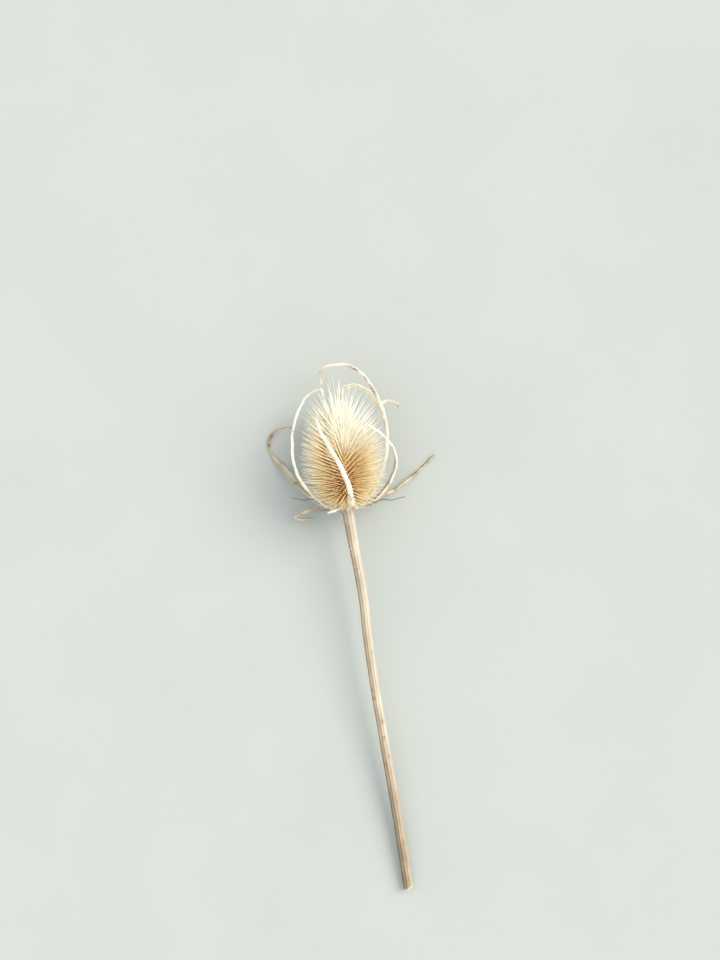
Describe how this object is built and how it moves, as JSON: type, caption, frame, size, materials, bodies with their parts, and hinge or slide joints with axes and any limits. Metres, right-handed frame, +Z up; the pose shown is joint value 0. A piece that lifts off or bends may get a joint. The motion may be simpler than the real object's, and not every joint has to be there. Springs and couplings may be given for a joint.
{
  "type": "dried teasel seed head",
  "caption": "Dried bleached teasel lying on its side: an egg-shaped head of stiff spines on a long ribbed stem, with long narrow curling bracts round its foot.",
  "frame": {"origin": "the middle of the part's box in plan, on the table it lies on", "axes": "+Z up from the table, +Y the way the crown of the head points, with the stem running towards -Y, +X to the right when the part is looked down on with its crown away from the viewer"},
  "size_m": [0.1034, 0.3214, 0.0564],
  "materials": {
    "stem": "dry, pale tan, ribbed fibre, matte",
    "seed_head": "dry, pale gold spines, brown between them, matte",
    "bract": "dry, bleached off-white with brown stains, satin"
  },
  "bodies": {
    "root": {"stem": "stem", "seed_head": "seed_head", "bract_front": "bract", "bract_left_arc": "bract", "bract_right_arc": "bract", "bract_under": "bract", "bract_right_hook": "bract", "bract_right_spread": "bract", "bract_left_hook": "bract", "bract_low_left": "bract", "bract_low_front": "bract", "bract_spike_left": "bract", "bract_spike_low": "bract", "bract_spike_right": "bract"}
  },
  "joints": []
}
